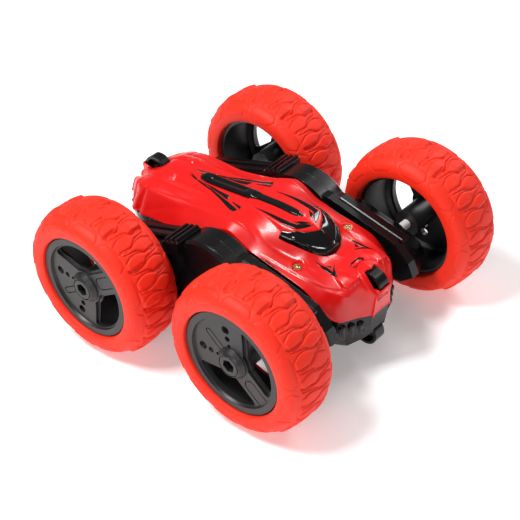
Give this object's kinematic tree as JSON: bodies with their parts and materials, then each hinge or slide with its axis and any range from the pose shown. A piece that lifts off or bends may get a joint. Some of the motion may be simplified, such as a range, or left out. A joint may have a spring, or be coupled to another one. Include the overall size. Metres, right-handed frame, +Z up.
{
  "type": "rc stunt car",
  "caption": "Double-sided stunt car: a pitched gloss body pivots between two geared side arms that each drive a pair of big soft-tyred wheels.",
  "frame": {"origin": "on the ground, midway between the four wheels", "axes": "+X to the nose, +Y to the car's left, +Z up"},
  "size_m": [0.166, 0.149, 0.076],
  "materials": {
    "red_shell": "high gloss moulded red",
    "black_shell": "gloss black moulding",
    "black_arm": "semi-gloss black moulding",
    "black_trim": "polished black inlay",
    "rim_plastic": "satin dark grey moulding",
    "tyre_rubber": "soft matt orange-red",
    "gear_plastic": "unfilled white acetal",
    "steel": "bright drawn steel",
    "brass_screw": "yellow passivated screw",
    "motor_steel": "drawn can",
    "board": "green solder resist",
    "battery_sleeve": "blue shrink sleeve",
    "jack_plastic": "black insert"
  },
  "bodies": {
    "chassis": {"upper_shell": "red_shell", "lower_shell": "black_shell", "canopy": "black_trim", "visor": "black_trim", "battery_cover": "black_shell", "battery_pack": "battery_sleeve", "circuit_board": "board", "charging_jack": "jack_plastic", "switch_housing": "jack_plastic", "shell_screws": "brass_screw", "roller_pins": "steel"},
    "switch_knob": {"switch_knob": "rim_plastic"},
    "nose_upper_roller": {"nose_upper_roller": "black_arm"},
    "nose_lower_roller": {"nose_lower_roller": "black_arm"},
    "tail_upper_roller": {"tail_upper_roller": "black_arm"},
    "tail_lower_roller": {"tail_lower_roller": "black_arm"},
    "left_arm": {"left_arm_inner_case": "black_arm", "left_arm_outer_case": "black_arm", "left_drum_cap": "black_arm", "left_gear_pins": "steel", "left_arm_screws": "steel", "left_pivot_ring": "gear_plastic", "left_motor": "motor_steel"},
    "front_left_wheel": {"front_left_rim": "rim_plastic", "front_left_tyre": "tyre_rubber", "front_left_output_gear": "gear_plastic", "front_left_wheel_screw": "steel"},
    "rear_left_wheel": {"rear_left_rim": "rim_plastic", "rear_left_tyre": "tyre_rubber", "rear_left_output_gear": "gear_plastic", "rear_left_wheel_screw": "steel"},
    "left_centre_gear": {"left_centre_gear": "gear_plastic"},
    "left_front_idler_gear": {"left_front_idler_gear": "gear_plastic"},
    "left_rear_idler_gear": {"left_rear_idler_gear": "gear_plastic"},
    "left_reduction_gear": {"left_reduction_gear": "gear_plastic"},
    "left_motor_pinion": {"left_motor_pinion": "brass_screw"},
    "right_arm": {"right_arm_inner_case": "black_arm", "right_arm_outer_case": "black_arm", "right_drum_cap": "black_arm", "right_gear_pins": "steel", "right_arm_screws": "steel", "right_pivot_ring": "gear_plastic", "right_motor": "motor_steel"},
    "front_right_wheel": {"front_right_rim": "rim_plastic", "front_right_tyre": "tyre_rubber", "front_right_output_gear": "gear_plastic", "front_right_wheel_screw": "steel"},
    "rear_right_wheel": {"rear_right_rim": "rim_plastic", "rear_right_tyre": "tyre_rubber", "rear_right_output_gear": "gear_plastic", "rear_right_wheel_screw": "steel"},
    "right_centre_gear": {"right_centre_gear": "gear_plastic"},
    "right_front_idler_gear": {"right_front_idler_gear": "gear_plastic"},
    "right_rear_idler_gear": {"right_rear_idler_gear": "gear_plastic"},
    "right_reduction_gear": {"right_reduction_gear": "gear_plastic"},
    "right_motor_pinion": {"right_motor_pinion": "brass_screw"}
  },
  "joints": [
    {"name": "power_switch_slide", "type": "slide", "parent": "chassis", "child": "switch_knob", "axis": [0.9925, 0, -0.1219], "range_m": [0, 0.003]},
    {"name": "nose_upper_roller_spin", "type": "hinge", "parent": "chassis", "child": "nose_upper_roller", "pos_m": [0.06424, 0, 0.04422], "axis": [0, 1, 0], "continuous": true},
    {"name": "nose_lower_roller_spin", "type": "hinge", "parent": "chassis", "child": "nose_lower_roller", "pos_m": [0.06082, 0, 0.01643], "axis": [0, 1, 0], "continuous": true},
    {"name": "tail_upper_roller_spin", "type": "hinge", "parent": "chassis", "child": "tail_upper_roller", "pos_m": [-0.06466, 0, 0.05702], "axis": [0, 1, 0], "continuous": true},
    {"name": "tail_lower_roller_spin", "type": "hinge", "parent": "chassis", "child": "tail_lower_roller", "pos_m": [-0.06735, 0, 0.03519], "axis": [0, 1, 0], "continuous": true},
    {"name": "left_arm_swing", "type": "hinge", "parent": "chassis", "child": "left_arm", "pos_m": [0, 0, 0.038], "axis": [0, 1, 0], "range_deg": [-45, 45]},
    {"name": "front_left_wheel_spin", "type": "hinge", "parent": "left_arm", "child": "front_left_wheel", "pos_m": [0.045, 0, 0.038], "axis": [0, 1, 0], "continuous": true},
    {"name": "rear_left_wheel_spin", "type": "hinge", "parent": "left_arm", "child": "rear_left_wheel", "pos_m": [-0.045, 0, 0.038], "axis": [0, 1, 0], "continuous": true},
    {"name": "left_centre_gear_spin", "type": "hinge", "parent": "left_arm", "child": "left_centre_gear", "pos_m": [0, 0, 0.038], "axis": [0, 1, 0], "continuous": true},
    {"name": "left_front_idler_gear_spin", "type": "hinge", "parent": "left_arm", "child": "left_front_idler_gear", "pos_m": [0.0265, 0, 0.038], "axis": [0, 1, 0], "continuous": true},
    {"name": "left_rear_idler_gear_spin", "type": "hinge", "parent": "left_arm", "child": "left_rear_idler_gear", "pos_m": [-0.0265, 0, 0.038], "axis": [0, 1, 0], "continuous": true},
    {"name": "left_reduction_gear_spin", "type": "hinge", "parent": "left_arm", "child": "left_reduction_gear", "pos_m": [0, 0, 0.0495], "axis": [0, 1, 0], "continuous": true},
    {"name": "left_motor_pinion_spin", "type": "hinge", "parent": "left_arm", "child": "left_motor_pinion", "pos_m": [0, 0, 0.038], "axis": [0, 1, 0], "continuous": true},
    {"name": "right_arm_swing", "type": "hinge", "parent": "chassis", "child": "right_arm", "pos_m": [0, 0, 0.038], "axis": [0, 1, 0], "range_deg": [-45, 45]},
    {"name": "front_right_wheel_spin", "type": "hinge", "parent": "right_arm", "child": "front_right_wheel", "pos_m": [0.045, 0, 0.038], "axis": [0, 1, 0], "continuous": true},
    {"name": "rear_right_wheel_spin", "type": "hinge", "parent": "right_arm", "child": "rear_right_wheel", "pos_m": [-0.045, 0, 0.038], "axis": [0, 1, 0], "continuous": true},
    {"name": "right_centre_gear_spin", "type": "hinge", "parent": "right_arm", "child": "right_centre_gear", "pos_m": [0, 0, 0.038], "axis": [0, 1, 0], "continuous": true},
    {"name": "right_front_idler_gear_spin", "type": "hinge", "parent": "right_arm", "child": "right_front_idler_gear", "pos_m": [0.0265, 0, 0.038], "axis": [0, 1, 0], "continuous": true},
    {"name": "right_rear_idler_gear_spin", "type": "hinge", "parent": "right_arm", "child": "right_rear_idler_gear", "pos_m": [-0.0265, 0, 0.038], "axis": [0, 1, 0], "continuous": true},
    {"name": "right_reduction_gear_spin", "type": "hinge", "parent": "right_arm", "child": "right_reduction_gear", "pos_m": [0, 0, 0.0495], "axis": [0, 1, 0], "continuous": true},
    {"name": "right_motor_pinion_spin", "type": "hinge", "parent": "right_arm", "child": "right_motor_pinion", "pos_m": [0, 0, 0.038], "axis": [0, 1, 0], "continuous": true}
  ],
  "couplings": [
    {"joint": "rear_left_wheel_spin", "follows": "front_left_wheel_spin", "ratio": 1},
    {"joint": "left_centre_gear_spin", "follows": "front_left_wheel_spin", "ratio": 0.46667},
    {"joint": "left_front_idler_gear_spin", "follows": "front_left_wheel_spin", "ratio": -0.6087},
    {"joint": "left_rear_idler_gear_spin", "follows": "front_left_wheel_spin", "ratio": -0.6087},
    {"joint": "left_reduction_gear_spin", "follows": "front_left_wheel_spin", "ratio": -1.3222},
    {"joint": "left_motor_pinion_spin", "follows": "front_left_wheel_spin", "ratio": 4.76},
    {"joint": "rear_right_wheel_spin", "follows": "front_right_wheel_spin", "ratio": 1},
    {"joint": "right_centre_gear_spin", "follows": "front_right_wheel_spin", "ratio": 0.46667},
    {"joint": "right_front_idler_gear_spin", "follows": "front_right_wheel_spin", "ratio": -0.6087},
    {"joint": "right_rear_idler_gear_spin", "follows": "front_right_wheel_spin", "ratio": -0.6087},
    {"joint": "right_reduction_gear_spin", "follows": "front_right_wheel_spin", "ratio": -1.3222},
    {"joint": "right_motor_pinion_spin", "follows": "front_right_wheel_spin", "ratio": 4.76}
  ]
}
